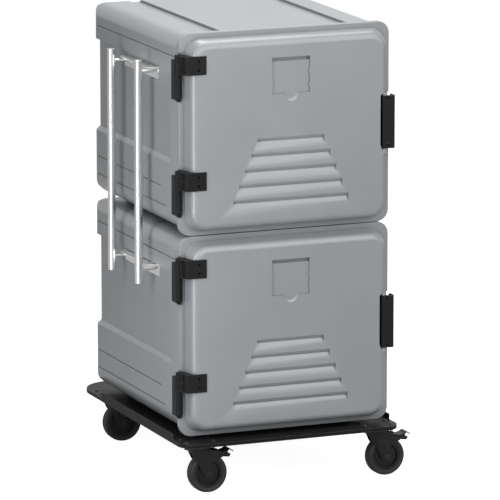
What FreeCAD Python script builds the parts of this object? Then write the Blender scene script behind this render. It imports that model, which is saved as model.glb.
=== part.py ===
import FreeCAD, Part
import math
import os

V = FreeCAD.Vector
X_AXIS = V(1, 0, 0)
Y_AXIS = V(0, 1, 0)
Z_AXIS = V(0, 0, 1)

# Enclosed meal tray cart: two insulated containers stacked on a wheeled dolly.
# Millimetres. X runs along the door's width, Y runs into the cart with the doors at -Y,
# Z runs up from the floor. The hinges and the push handle are on the -X side.

# ---------------------------------------------------------------- driving dimensions
# heights of the stack
CASTOR_H = 156.0           # floor to the underside of the deck
DECK_T = 12.0
DECK_TOP = CASTOR_H + DECK_T
PITCH = 642.0              # one container's height on its skids
CONTAINERS = {"lower": DECK_TOP, "upper": DECK_TOP + PITCH}

# casing: heights from the container's own base, the face that its skids rest on
RIM_Y = -379.0             # front rim, which the door closes on
REAR_Y = 379.0
BAND_X = 351.5             # half width of the raised bands
RECESS = 13.0              # depth of the recessed sides and back
CASE_BOTTOM = 12.0
CASE_TOP = PITCH
BOTTOM_EDGE_R = 75.0
SHOULDER_R = 48.0
REAR_CORNER_R = 50.0
REAR_BOTTOM_R = 68.0
REAR_TOP_R = 45.0
RECESS_LOW = 229.0
RECESS_HIGH = 527.0
RECESS_SLOPE = 12.0        # the lower band's top edge slopes in over this height
BOSS_LOW_Y = -318.0        # where the recess starts below the hinge boss
BOSS_HIGH_Y = -230.0       # and where it starts at the rim band
BOSS_CURVE_Z = 433.0
RIB_GROOVES = ((147.0, -233.0), (89.0, -267.0))   # height and front end of each fine ledge
RIM_LINE_Z = 574.0
GROOVE_H = 4.0
GROOVE_DEEP = 3.0
SHELL_T = 5.0

# stacking channels on top, and the skids that stand in them
CHANNEL_X = (192.0, 238.0)
CHANNEL_DEEP = 8.0
CHANNEL_MID = sum(CHANNEL_X) / 2
SKID_W = 64.0
SKID_LEN = 660.0
KEY_W = 40.0
KEY_DEEP = 6.0
KEY_LEN = 64.0
KEY_Y = 280.0
KEY_PLAY = 1.0

# inner box
LINER_X = 315.0
LINER_T = 3.0
LINER_Z = (55.0, 592.0)
LINER_BACK_Y = 352.0
LINER_R = 30.0
LEDGE_COUNT = 6
LEDGE_FIRST_Z = 105.0
LEDGE_PITCH = 78.0
LEDGE_OUT = 20.0
LEDGE_T = 10.0
LEDGE_Y = (-300.0, 320.0)

# door
DOOR_X = 355.0
DOOR_Z = (10.0, 650.0)
FLANGE_BACK_Y = RIM_Y - 1.0
FLANGE_Y = -401.0
PLATEAU_Y = -453.0
FLANGE_R = 38.0
FLANGE_W = 16.0
SIDE_DRAFT = 10.0          # how far the raised side leans in before the crown
CROWN_R = 25.0
DOOR_SKIN = 5.0
DOOR_OPENING_X = 318.0
DOOR_OPENING_Z = (52.0, 595.0)
PLUG_X = 308.0
PLUG_Z = (62.0, 585.0)
PLUG_Y = -350.0
SEAL_X = (328.0, 338.0)
SEAL_Z = (28.0, 616.0)
SEAL_DEEP = 6.0
SEAL_GAP = 0.4

# five grooves across the door
GROOVE_TOPS = tuple(314.0 - 48.0 * row for row in range(5))
GROOVE_FIRST_W = 227.0
GROOVE_GROWTH = 41.0
DOOR_GROOVE_H = 27.0
DOOR_GROOVE_DEEP = 8.0

# card recess
CARD_X = 64.0
CARD_Z = (450.0, 565.0)
CARD_DEEP = 4.0
SLOT_H = 12.0
SLOT_DEEP = 12.0
SCOOP_R = 24.0
SCOOP_DEEP = 8.0

# hinges: each bracket's foot carries the pin, and the leaf's barrel turns on it
HINGE_X = -BAND_X - 8.5
HINGE_Y = -405.0
HINGE_BASES = (439.0, 74.0)
BRACKET_H = 125.0
BRACKET_Y = (-388.0, -347.0)
BRACKET_STEP = (82.0, -374.0)   # above this height the bar's front edge steps back
BRACKET_FOOT_H = 17.0
BARREL_R = 10.0
BARREL_Z = (17.5, 147.0)   # from the bracket's base
LEAF_Z = (87.5, 146.0)
LEAF_Y = -456.0
LEAF_RIGHT_X = -284.5
LEAF_CORNER = (-349.0, LEAF_Y)     # where the leaf's front turns into its slanted side
LEAF_POCKET = (19.0, 24.0)         # length and height of each pocket in that side
LEAF_POCKET_DEEP = 4.0
LEAF_RIB = 3.5
LEAF_SCREW_X = -310.0
LEAF_SCREW_SPREAD = 13.7
LEAF_HEAD_R = 5.0
LEAF_WELL = 1.8            # how far the screws sit below the leaf's face
HINGE_PIN_R = 5.0
PIN_Z = (7.0, 139.0)
RUNNING = 0.05             # radial clearance of every turning fit

# latch
LATCH_PIN_X = 321.0
LATCH_PIN_Y = -447.0
LATCH_PIN_R = 3.5
LATCH_HUB_R = 7.5
LEVER_Z = (253.0, 421.0)
LEVER_X = (312.0, 355.5)
LEVER_Y = (-456.0, -448.0)
LEVER_SIDE_T = 3.0
LEVER_END_Y = -357.0
NOTCH_X = 304.5
NOTCH_Z = (237.0, 428.5)
NOTCH_Y = -418.0
NOTCH_R = 34.0             # at the lower inner corner
NOTCH_TOP_R = 10.0
SIDE_GAP_X = 350.0         # the flange is cut back to here beside the lever
SIDE_GAP = 3.0
EAR_H = 10.0
HOOK_GAP = 0.6
KEEPER_T = 3.0
KEEPER_Y = (-374.0, -334.0)
KEEPER_GROOVE_Y = (-368.0, -352.0)
KEEPER_GROOVE = 2.0
KEEPER_HALF_H = 46.0

# dolly
DECK_X = 372.5
DECK_Y = 478.0
DECK_FRONT_R = 50.0
DECK_REAR_R = 110.0
LIP_H = 18.0
LIP_T = 3.0
LIP_Y = (-381.0, 250.0)

# castors
CASTOR_X = 305.0
CASTORS = {
    "front_left": (-CASTOR_X, -420.0),
    "front_right": (CASTOR_X, -420.0),
    "rear_left": (-CASTOR_X, 331.0),
    "rear_right": (CASTOR_X, 331.0),
}
BRAKED = ("front_left", "front_right")
TRAIL = 33.0
WHEEL_R = 62.5
WHEEL_W = 40.0
CORE_R = 47.0
AXLE_R = 5.0
CORE_RING = (34.0, 39.0)   # radii of the ring groove in the core's sides
TYRE_GAP = 3.5
FORK_GAP = 22.0
FORK_T = 3.0
FORK_FOOT = 15.0           # half length of the fork's foot along X, about the axle
FORK_BOTTOM = 48.0
FORK_SLOT = 14.0           # half width of the gap between the cheeks
HEAD_R = 36.0
HEAD_CORNER_R = 34.0
HEAD_Z = (138.0, 150.0)
RACE_R = 30.0
RACE_GAP = 0.4
PLATE_T = 4.0
PLATE_X = 105.0
PLATE_Y = 70.0
BOLT_X = 90.0
BOLT_Y = 50.0
BOLT_R = 4.0
BOLT_HEAD_H = 4.0
NUT_H = 4.0
KING_R = 6.0
PEDAL_PIN = (71.0, 121.0)  # from the swivel axis, and height
PEDAL_PIN_R = 3.0
PEDAL_TIP = 115.5

# push handle
BAR_R = 12.5
BAR_X = -408.0
BAR_Y = (-185.0, 53.0)
BAR_Z = (635.5, 1349.0)
LEG_R = 5.0
LEG_Z = (680.0, 1312.0)
HANDLE_PLATE_Y = (-194.0, 105.0)
HANDLE_PLATE_T = 3.0
HANDLE_PLATE_UP = 13.0
HANDLE_PLATE_DOWN = 27.0
SHELF_OUT = 42.0
SHELF_HOLE_Y = -155.0
SHELF_HOLE_R = 5.0
BRACKET_BOLT_Y = (-150.0, -66.0, 18.0)

RECESS_X = BAND_X - RECESS


# ---------------------------------------------------------------- drawing helpers
def save(name, *solids):
    """Write one sub-part, as one solid or as a group of separate solids."""
    shape = solids[0] if len(solids) == 1 else Part.makeCompound(list(solids))
    for solid in shape.Solids:
        if not solid.isValid():
            print("not valid:", name)
    shape.exportStep(os.path.join("parts", name + ".step"))
    print(name, len(shape.Solids), round(shape.Volume / 1000.0, 1), "cm3")


def box(x, y, z):
    """A box from three (low, high) spans."""
    return Part.makeBox(x[1] - x[0], y[1] - y[0], z[1] - z[0], V(x[0], y[0], z[0]))


def rod(radius, start, end):
    """A round bar between two points."""
    along = V(*end) - V(*start)
    return Part.makeCylinder(radius, along.Length, V(*start), along)


def face_of(points):
    """A flat face from corner points."""
    return Part.Face(Part.makePolygon([V(*p) for p in points] + [V(*points[0])]))


def rounded_loop(corners, radii):
    """A closed outline through corners, with an arc of its own radius at each."""
    count = len(corners)
    starts, ends, middles = [], [], []
    for index, corner in enumerate(corners):
        here = V(*corner)
        back = (V(*corners[index - 1]) - here).normalize()
        ahead = (V(*corners[(index + 1) % count]) - here).normalize()
        radius = radii[index]
        half = back.getAngle(ahead) / 2
        reach = radius / math.tan(half)
        bisector = (back + ahead).normalize()
        centre = here + bisector * (radius / math.sin(half))
        starts.append(here + back * reach)
        ends.append(here + ahead * reach)
        middles.append(centre - bisector * radius)
    edges = []
    for index in range(count):
        following = (index + 1) % count
        if radii[index] > 0:
            edges.append(Part.Arc(starts[index], middles[index], ends[index]).toShape())
        if (starts[following] - ends[index]).Length > 1e-6:
            edges.append(Part.makeLine(ends[index], starts[following]))
    return Part.Wire(edges)


def front_loop(half_x, z, y, radii):
    """A rounded rectangle standing at a given y; radii run from low right, to the left."""
    corners = [(half_x, y, z[0]), (half_x, y, z[1]), (-half_x, y, z[1]), (-half_x, y, z[0])]
    return rounded_loop(corners, radii)


def front_slab(half_x, z, y, radius):
    """A rounded rectangle, seen from the front, between two values of y."""
    wire = front_loop(half_x, z, y[0], [radius] * 4)
    return Part.Face(wire).extrude(V(0, y[1] - y[0], 0))


def level_loop(x, y, z, radii):
    """A rounded rectangle lying at a given height."""
    corners = [(x[0], y[0], z), (x[1], y[0], z), (x[1], y[1], z), (x[0], y[1], z)]
    return rounded_loop(corners, radii)


def plan_loop(half_x, y, z, front_r, rear_r):
    """A level rounded rectangle about the cart's middle, with its own radii in front and behind."""
    return level_loop((-half_x, half_x), y, z, [front_r, front_r, rear_r, rear_r])


def plan_slab(half_x, y, z, front_r, rear_r):
    """A rounded rectangle, seen from above, between two heights."""
    return Part.Face(plan_loop(half_x, y, z[0], front_r, rear_r)).extrude(V(0, 0, z[1] - z[0]))


def mirrored(shape):
    """The same shape on the other side of the cart's middle."""
    return shape.mirror(V(0, 0, 0), X_AXIS)


def lifted(shape, height):
    shape.translate(V(0, 0, height))
    return shape


# ---------------------------------------------------------------- container casing
def casing_envelope(inset):
    """The casing's outer form, or its copy drawn in by an inset for the hollow inside."""
    half_x = BAND_X - inset
    skin = SHELL_T if inset else 0.0
    z = (CASE_BOTTOM + skin, CASE_TOP - (CHANNEL_DEEP + skin if inset else 0.0))
    rear = REAR_Y - inset
    front = RIM_Y + skin
    low_r = BOTTOM_EDGE_R - inset
    high_r = SHOULDER_R - inset * 0.6
    across = Part.Face(front_loop(half_x, z, front, [low_r, high_r, high_r, low_r]))
    body = across.extrude(V(0, rear - front, 0))
    side = [(-half_x, front, z[0]), (-half_x, rear, z[0]), (-half_x, rear, z[1]), (-half_x, front, z[1])]
    side_wire = rounded_loop(side, [0.0, REAR_BOTTOM_R - inset, REAR_TOP_R - inset * 0.6, 0.0])
    body = body.common(Part.Face(side_wire).extrude(V(2 * half_x, 0, 0)))
    plan = plan_slab(half_x, (front, rear), z, 0.0, REAR_CORNER_R - inset)
    return body.common(plan)


def recess_ring():
    """What is cut from both sides and the back between the bands, clear of the hinge boss."""
    curve_mid_y = BOSS_LOW_Y + (BOSS_HIGH_Y - BOSS_LOW_Y) * 0.16
    curve_mid_z = BOSS_CURVE_Z + (RECESS_HIGH - BOSS_CURVE_Z) * 0.62
    reach = BAND_X + 20.0
    points = [V(-reach, BOSS_LOW_Y, RECESS_LOW), V(-reach, BOSS_LOW_Y, BOSS_CURVE_Z),
              V(-reach, BOSS_HIGH_Y, RECESS_HIGH), V(-reach, REAR_Y + 20.0, RECESS_HIGH),
              V(-reach, REAR_Y + 20.0, RECESS_LOW)]
    edges = [Part.makeLine(points[0], points[1]),
             Part.Arc(points[1], V(-reach, curve_mid_y, curve_mid_z), points[2]).toShape(),
             Part.makeLine(points[2], points[3]),
             Part.makeLine(points[3], points[4]),
             Part.makeLine(points[4], points[0])]
    cutter = Part.Face(Part.Wire(edges)).extrude(V(2 * reach, 0, 0))
    front = RIM_Y - 20.0
    kept = plan_slab(RECESS_X, (front, REAR_Y - RECESS), (0.0, CASE_TOP), 0.0, REAR_CORNER_R - RECESS)
    low = plan_loop(BAND_X, (front, REAR_Y), RECESS_LOW - 1.0, 0.0, REAR_CORNER_R)
    high = plan_loop(RECESS_X, (front, REAR_Y - RECESS), RECESS_LOW + RECESS_SLOPE, 0.0, REAR_CORNER_R - RECESS)
    return cutter.cut(kept).cut(Part.makeLoft([low, high], True, True))


def fine_ledge(z, front_y):
    """A shallow groove along both sides and the back, which reads as a fine ledge."""
    reach = BAND_X + 20.0
    cutter = box((-reach, reach), (front_y, REAR_Y + 20.0), (z - GROOVE_H, z))
    inner_x = BAND_X - GROOVE_DEEP
    kept = plan_slab(inner_x, (RIM_Y - 20.0, REAR_Y - GROOVE_DEEP), (0.0, CASE_TOP), 0.0,
                     REAR_CORNER_R - GROOVE_DEEP)
    return cutter.cut(kept)


def stacking_channel():
    return box(CHANNEL_X, (RIM_Y - 1.0, REAR_Y + 1.0), (CASE_TOP - CHANNEL_DEEP, CASE_TOP + 1.0))


def skid():
    """A runner under the casing, with two keys that drop into the channel or the deck below."""
    half = SKID_LEN / 2
    taper = CASE_BOTTOM + 6.0
    side = face_of([(0, -half, 0), (0, half, 0), (0, half + taper, taper), (0, -half - taper, taper)])
    runner = side.extrude(V(SKID_W, 0, 0))
    runner.translate(V(CHANNEL_MID - SKID_W / 2, 0, 0))
    for key_y in (-KEY_Y, KEY_Y):
        key = box((CHANNEL_MID - KEY_W / 2, CHANNEL_MID + KEY_W / 2),
                  (key_y - KEY_LEN / 2, key_y + KEY_LEN / 2), (-KEY_DEEP, 1.0))
        runner = runner.fuse(key)
    return runner


def liner_block(grow):
    """The inner box's solid form, grown by the sheet's thickness for its outside."""
    z = (LINER_Z[0] - grow, LINER_Z[1] + grow)
    block = front_slab(LINER_X + grow, z, (RIM_Y - 1.0, LINER_BACK_Y + grow), LINER_R + grow)
    return block


def make_casing():
    outer = casing_envelope(0.0).cut(recess_ring())
    for z, front_y in RIB_GROOVES:
        outer = outer.cut(fine_ledge(z, front_y))
    outer = outer.cut(fine_ledge(RIM_LINE_Z, RIM_Y - 1.0))
    channel = stacking_channel()
    outer = outer.cut(channel).cut(mirrored(channel))
    runner = skid()
    outer = outer.fuse(runner).fuse(mirrored(runner))
    hollow = casing_envelope(RECESS + SHELL_T)
    return outer.cut(hollow).cut(liner_block(LINER_T)).removeSplitter()


def make_casing_foam():
    return casing_envelope(RECESS + SHELL_T).cut(liner_block(LINER_T))


def tray_ledge(z):
    """One pair of ledges, with a sloping underside, along the inner box's side walls."""
    inner = LINER_X - LEDGE_OUT
    root = -LINER_X - 1.0
    start = LEDGE_Y[0]
    profile = [(root, start, z), (-inner, start, z), (-inner, start, z - LEDGE_T / 2),
               (root, start, z - LEDGE_T * 1.6)]
    return face_of(profile).extrude(V(0, LEDGE_Y[1] - start, 0))


def make_liner():
    front_face = box((-500.0, 500.0), (RIM_Y - 50.0, RIM_Y), (0.0, CASE_TOP))
    liner = liner_block(LINER_T).cut(liner_block(0.0)).cut(front_face)
    for row in range(LEDGE_COUNT):
        ledge = tray_ledge(LEDGE_FIRST_Z + LEDGE_PITCH * row)
        liner = liner.fuse(ledge).fuse(mirrored(ledge))
    return liner


# ---------------------------------------------------------------- door
def raised_form(inset):
    """The raised front of the door: a drafted side under a rounded crown."""
    base = FLANGE_W + inset
    z_base = (DOOR_Z[0] + base, DOOR_Z[1] - base)
    lean = base + SIDE_DRAFT
    z_lean = (DOOR_Z[0] + lean, DOOR_Z[1] - lean)
    front = PLATEAU_Y + inset
    low = front_loop(DOOR_X - base, z_base, FLANGE_Y + 1.0, [48.0 - inset] * 4)
    high = front_loop(DOOR_X - lean, z_lean, front, [62.0 - inset] * 4)
    form = Part.makeLoft([low, high], True, True)
    crown = [edge for edge in form.Edges if abs(edge.BoundBox.YMin - front) < 0.01
             and abs(edge.BoundBox.YMax - front) < 0.01]
    return form.makeFillet(CROWN_R - inset, crown)


def v_groove(row):
    width = GROOVE_FIRST_W + GROOVE_GROWTH * row
    top = GROOVE_TOPS[row]
    points = [(-width / 2, PLATEAU_Y - 1.0, top), (-width / 2, PLATEAU_Y, top),
              (-width / 2, PLATEAU_Y + DOOR_GROOVE_DEEP, top - DOOR_GROOVE_H * 0.42),
              (-width / 2, PLATEAU_Y + DOOR_GROOVE_DEEP, top - DOOR_GROOVE_H * 0.5),
              (-width / 2, PLATEAU_Y, top - DOOR_GROOVE_H),
              (-width / 2, PLATEAU_Y - 1.0, top - DOOR_GROOVE_H)]
    return face_of(points).extrude(V(width, 0, 0))


def card_recess():
    """A shallow pocket with a deeper slot along its top and a finger scoop below it."""
    front = PLATEAU_Y - 1.0
    pocket = box((-CARD_X, CARD_X), (front, PLATEAU_Y + CARD_DEEP), CARD_Z)
    slot = box((-CARD_X, CARD_X), (front, PLATEAU_Y + SLOT_DEEP), (CARD_Z[1] - SLOT_H, CARD_Z[1]))
    ball_r = (SCOOP_R ** 2 + SCOOP_DEEP ** 2) / (2 * SCOOP_DEEP)
    scoop = Part.makeSphere(ball_r, V(0, PLATEAU_Y + SCOOP_DEEP - ball_r, CARD_Z[0]))
    return pocket.fuse(slot).fuse(scoop)


def latch_notch():
    """The pocket in the door's right edge, round at its inner corners."""
    corners = [(NOTCH_X, PLATEAU_Y - 5.0, NOTCH_Z[0]), (DOOR_X + 5.0, PLATEAU_Y - 5.0, NOTCH_Z[0]),
               (DOOR_X + 5.0, PLATEAU_Y - 5.0, NOTCH_Z[1]), (NOTCH_X, PLATEAU_Y - 5.0, NOTCH_Z[1])]
    wire = rounded_loop(corners, [NOTCH_R, 0.0, 0.0, NOTCH_TOP_R])
    pocket = Part.Face(wire).extrude(V(0, NOTCH_Y - PLATEAU_Y + 5.0, 0))
    beside = box((SIDE_GAP_X, DOOR_X + 5.0), (NOTCH_Y - 1.0, FLANGE_BACK_Y + 1.0),
                 (LEVER_Z[0] - SIDE_GAP, LEVER_Z[1] + SIDE_GAP))
    return pocket.fuse(beside)


def hinge_notch(base):
    """The gap in the door's left flange that a bracket and a barrel stand in."""
    front = FLANGE_Y - 0.5
    x = (-DOOR_X - 5.0, -DOOR_X + 11.0)
    z = (base - 4.0, base + BARREL_Z[1] + 4.0)
    corners = [(x[0], front, z[0]), (x[1], front, z[0]), (x[1], front, z[1]), (x[0], front, z[1])]
    wire = rounded_loop(corners, [0.0, 8.0, 2.0, 0.0])
    return Part.Face(wire).extrude(V(0, FLANGE_BACK_Y + 1.0 - front, 0))


def seal_ring(deep):
    """The gasket's ring, or the groove for it."""
    outer = front_slab(SEAL_X[1], SEAL_Z, (FLANGE_BACK_Y - SEAL_DEEP, FLANGE_BACK_Y + deep), 55.0)
    band = SEAL_X[1] - SEAL_X[0]
    z = (SEAL_Z[0] + band, SEAL_Z[1] - band)
    inner = front_slab(SEAL_X[0], z, (FLANGE_BACK_Y - SEAL_DEEP - 1.0, FLANGE_BACK_Y + deep + 1.0), 45.0)
    return outer.cut(inner)


def door_outer():
    slab = front_slab(DOOR_X, DOOR_Z, (FLANGE_Y, FLANGE_BACK_Y), FLANGE_R)
    rim = [edge for edge in slab.Edges if abs(edge.BoundBox.YMax - FLANGE_Y) < 0.01]
    slab = slab.makeFillet(2.0, rim)
    return slab.fuse(raised_form(0.0)).removeSplitter()


def door_hollow():
    """The foam's space: inside the raised form, and through the back within the opening."""
    window = front_slab(DOOR_OPENING_X, DOOR_OPENING_Z, (FLANGE_Y - 60.0, FLANGE_BACK_Y), LINER_R)
    hollow = raised_form(DOOR_SKIN).common(window)
    mouth = front_slab(DOOR_OPENING_X, DOOR_OPENING_Z, (FLANGE_Y, FLANGE_BACK_Y), LINER_R)
    hollow = hollow.fuse(mouth)
    hollow = hollow.cut(box((NOTCH_X - DOOR_SKIN, DOOR_X), (PLATEAU_Y - 5.0, NOTCH_Y + DOOR_SKIN),
                            (NOTCH_Z[0] - DOOR_SKIN, NOTCH_Z[1] + DOOR_SKIN)))
    front = PLATEAU_Y - 5.0
    for row, top in enumerate(GROOVE_TOPS):
        half = (GROOVE_FIRST_W + GROOVE_GROWTH * row) / 2 + DOOR_SKIN
        z = (top - DOOR_GROOVE_H + 2.0, top - 2.0)
        hollow = hollow.cut(box((-half, half), (front, PLATEAU_Y + DOOR_GROOVE_DEEP + DOOR_SKIN), z))
    card_x = CARD_X + DOOR_SKIN
    card_z = (CARD_Z[0] - SCOOP_R - DOOR_SKIN, CARD_Z[1] + DOOR_SKIN)
    return hollow.cut(box((-card_x, card_x), (front, PLATEAU_Y + SLOT_DEEP + DOOR_SKIN), card_z))


def make_door_shell():
    shell = door_outer()
    for row in range(len(GROOVE_TOPS)):
        shell = shell.cut(v_groove(row))
    shell = shell.cut(card_recess()).cut(latch_notch())
    for base in HINGE_BASES:
        shell = shell.cut(hinge_notch(base))
    return shell.cut(seal_ring(1.0)).cut(door_hollow())


def plug(grow, y):
    """The block that enters the casing's mouth."""
    z = (PLUG_Z[0] - grow, PLUG_Z[1] + grow)
    return front_slab(PLUG_X + grow, z, y, LINER_R - 6.0 + grow)


def make_door_liner():
    flange = front_slab(DOOR_OPENING_X, DOOR_OPENING_Z, (FLANGE_BACK_Y - 4.0, FLANGE_BACK_Y), LINER_R)
    pan = flange.fuse(plug(0.0, (FLANGE_BACK_Y - 4.0, PLUG_Y)))
    return pan.cut(plug(-LINER_T, (FLANGE_BACK_Y - 5.0, PLUG_Y - LINER_T)))


def make_door_foam():
    flange = front_slab(DOOR_OPENING_X, DOOR_OPENING_Z, (FLANGE_BACK_Y - 4.0, FLANGE_BACK_Y), LINER_R)
    foam = door_hollow().cut(flange)
    return foam.fuse(plug(-LINER_T, (FLANGE_BACK_Y - 4.0, PLUG_Y - LINER_T)))


# ---------------------------------------------------------------- hinges
def leaf_pocket(z, row, column):
    """One of the pockets between the ribs of the leaf's slanted side."""
    length, height = LEAF_POCKET
    start = 2 * LEAF_RIB + column * (length + LEAF_RIB)
    low = z + LEAF_RIB + row * (height + LEAF_RIB)
    pocket = box((-1.0, LEAF_POCKET_DEEP), (start, start + length), (low, low + height))
    slant = math.atan2(LEAF_CORNER[0] - HINGE_X + BARREL_R, HINGE_Y - LEAF_CORNER[1])
    pocket.rotate(V(0, 0, 0), Z_AXIS, math.degrees(slant))
    pocket.translate(V(LEAF_CORNER[0], LEAF_CORNER[1], 0))
    return pocket


def make_leaf(base, door):
    """A leaf that wraps the door's edge, with ribbed pockets on its side and a barrel behind."""
    z = (base + LEAF_Z[0], base + LEAF_Z[1])
    behind = FLANGE_Y - 0.5
    corners = [(LEAF_RIGHT_X, LEAF_Y, z[0]), (LEAF_RIGHT_X, PLATEAU_Y + 14.0, z[0]),
               (-DOOR_X + 20.0, behind, z[0]), (HINGE_X, behind, z[0]),
               (HINGE_X - BARREL_R, HINGE_Y, z[0]), LEAF_CORNER + (z[0],)]
    plan = rounded_loop(corners, [1.5, 0.0, 0.0, 0.0, 0.0, 5.0])
    leaf = Part.Face(plan).extrude(V(0, 0, z[1] - z[0]))
    leaf = leaf.cut(door)
    for row in range(2):
        for column in range(2):
            leaf = leaf.cut(leaf_pocket(z[0], row, column))
    barrel = rod(BARREL_R, (HINGE_X, HINGE_Y, base + BARREL_Z[0]), (HINGE_X, HINGE_Y, base + BARREL_Z[1]))
    leaf = leaf.fuse(barrel)
    bore = rod(HINGE_PIN_R + RUNNING, (HINGE_X, HINGE_Y, base), (HINGE_X, HINGE_Y, base + BARREL_Z[1] - 6.0))
    leaf = leaf.cut(bore)
    x = LEAF_SCREW_X
    for hole_z in leaf_screw_heights(base):
        well = rod(LEAF_HEAD_R, (x, LEAF_Y - 1.0, hole_z), (x, LEAF_Y + LEAF_WELL, hole_z))
        leaf = leaf.cut(leaf_screw(hole_z)).cut(well)
    return leaf


def leaf_screw_heights(base):
    middle = base + (LEAF_Z[0] + LEAF_Z[1]) / 2
    return (middle - LEAF_SCREW_SPREAD, middle + LEAF_SCREW_SPREAD)


def leaf_screw(z):
    """A countersunk screw through the leaf's front plate into the door."""
    x = LEAF_SCREW_X
    face = LEAF_Y + LEAF_WELL
    shank = rod(2.5, (x, face + 1.0, z), (x, PLATEAU_Y + 4.5, z))
    head = Part.makeCone(LEAF_HEAD_R, 2.5, 2.5, V(x, face, z), Y_AXIS)
    return shank.fuse(head)


def make_bracket(base):
    """A bar on the casing's side, stepped back beside the leaf, and a tapered foot that holds the pin."""
    step_z, step_y = BRACKET_STEP
    front, rear = BRACKET_Y
    corners = [(0, rear, base + BRACKET_H), (0, step_y, base + BRACKET_H), (0, step_y, base + step_z),
               (0, front, base + step_z - 10.0), (0, front, base), (0, rear, base)]
    wire = rounded_loop(corners, [3.0, 3.0, 3.0, 3.0, 0.0, 2.0])
    bar = Part.Face(wire).extrude(V(-BAND_X - HINGE_X, 0, 0))
    bar.translate(V(HINGE_X, 0, 0))
    taper_top = base + BRACKET_FOOT_H - 3.0
    foot_top = base + BRACKET_FOOT_H
    foot = box((HINGE_X - HINGE_PIN_R, -BAND_X), (HINGE_Y, BRACKET_Y[0] + 5.0), (base + 4.0, foot_top))
    taper = Part.makeCone(HINGE_PIN_R, BARREL_R, taper_top - base, V(HINGE_X, HINGE_Y, base))
    knuckle = rod(BARREL_R, (HINGE_X, HINGE_Y, taper_top), (HINGE_X, HINGE_Y, foot_top))
    bracket = bar.fuse(foot).fuse(taper).fuse(knuckle)
    bracket = bracket.cut(make_hinge_pin(base))
    for hole_z in bracket_screw_heights(base):
        bracket = bracket.cut(bracket_screw(hole_z))
    return bracket


def bracket_screw_heights(base):
    return (base + 32.0, base + 104.0)


def bracket_screw(z):
    """A screw through the bracket into the casing's boss."""
    y = sum(BRACKET_Y) / 2
    head = rod(5.5, (HINGE_X, y, z), (HINGE_X + 4.0, y, z))
    shank = rod(3.0, (HINGE_X + 4.0, y, z), (-BAND_X + 8.0, y, z))
    return head.fuse(shank)


def make_hinge_pin(base):
    return rod(HINGE_PIN_R, (HINGE_X, HINGE_Y, base + PIN_Z[0]), (HINGE_X, HINGE_Y, base + PIN_Z[1]))


# ---------------------------------------------------------------- latch
def latch_ears():
    return ((LEVER_Z[0] + 3.0, LEVER_Z[0] + 3.0 + EAR_H), (LEVER_Z[1] - 3.0 - EAR_H, LEVER_Z[1] - 3.0))


def make_latch_base():
    plate = box((NOTCH_X + 6.0, DOOR_X - 22.0), (NOTCH_Y - 4.0, NOTCH_Y), (LEVER_Z[0], LEVER_Z[1]))
    base = plate
    for z in latch_ears():
        ear = rod(LATCH_HUB_R, (LATCH_PIN_X, LATCH_PIN_Y, z[0]), (LATCH_PIN_X, LATCH_PIN_Y, z[1]))
        foot = box((LATCH_PIN_X - LATCH_HUB_R, LATCH_PIN_X + LATCH_HUB_R), (LATCH_PIN_Y, NOTCH_Y - 2.0), z)
        base = base.fuse(ear).fuse(foot)
    pin_hole = rod(LATCH_PIN_R, (LATCH_PIN_X, LATCH_PIN_Y, LEVER_Z[0]), (LATCH_PIN_X, LATCH_PIN_Y, LEVER_Z[1]))
    return base.cut(pin_hole)


def make_latch_pin():
    low = (LATCH_PIN_X, LATCH_PIN_Y, LEVER_Z[0] + 4.0)
    high = (LATCH_PIN_X, LATCH_PIN_Y, LEVER_Z[1] - 4.0)
    return rod(LATCH_PIN_R, low, high)


def make_latch_lever():
    """An L-shaped lever: a front grip, a side plate past the door's edge, and a hook behind."""
    outer = LEVER_X[1]
    inner = outer - LEVER_SIDE_T
    nose = BAND_X + HOOK_GAP
    plan = [(LEVER_X[0], LEVER_Y[0]), (outer, LEVER_Y[0]), (outer, LEVER_END_Y), (nose, LEVER_END_Y),
            (nose, LEVER_END_Y - 5.0), (inner, LEVER_END_Y - 7.0), (inner, LEVER_Y[1]), (LEVER_X[0], LEVER_Y[1])]
    corners = [(x, y, LEVER_Z[0]) for x, y in plan]
    wire = rounded_loop(corners, [2.0, 9.0, 2.0, 0.0, 0.0, 0.0, 3.0, 0.0])
    lever = Part.Face(wire).extrude(V(0, 0, LEVER_Z[1] - LEVER_Z[0]))
    ears = latch_ears()
    hub_z = (ears[0][1] + 0.5, ears[1][0] - 0.5)
    axis = (LATCH_PIN_X, LATCH_PIN_Y)
    lever = lever.fuse(rod(LATCH_HUB_R, axis + (hub_z[0],), axis + (hub_z[1],)))
    gap = LATCH_PIN_X + LATCH_HUB_R + 5.0
    for z in ((LEVER_Z[0] - 1.0, hub_z[0]), (hub_z[1], LEVER_Z[1] + 1.0)):
        lever = lever.cut(box((LEVER_X[0] - 5.0, gap), (LEVER_Y[0] - 1.0, NOTCH_Y), z))
    lever = lever.cut(side_plate_trim())
    return lever.cut(rod(LATCH_PIN_R + RUNNING, axis + (LEVER_Z[0],), axis + (LEVER_Z[1],)))


def side_plate_trim():
    """What is cut above and below the hook, so that the side plate narrows towards it."""
    drop = 48.0
    back = LEVER_END_Y + 1.0
    start = FLANGE_Y - 22.0
    x = BAND_X - 3.0
    low_z = LEVER_Z[0] - 1.0
    high_z = LEVER_Z[1] + 1.0
    low = face_of([(x, start, low_z), (x, back, low_z), (x, back, low_z + drop)])
    high = face_of([(x, start, high_z), (x, back, high_z), (x, back, high_z - drop)])
    return low.extrude(V(30.0, 0, 0)).fuse(high.extrude(V(30.0, 0, 0)))


def keeper_plate():
    """The keeper's outline, let into the casing's side."""
    middle = sum(LEVER_Z) / 2
    return box((BAND_X - KEEPER_T, BAND_X), KEEPER_Y, (middle - KEEPER_HALF_H, middle + KEEPER_HALF_H))


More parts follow.
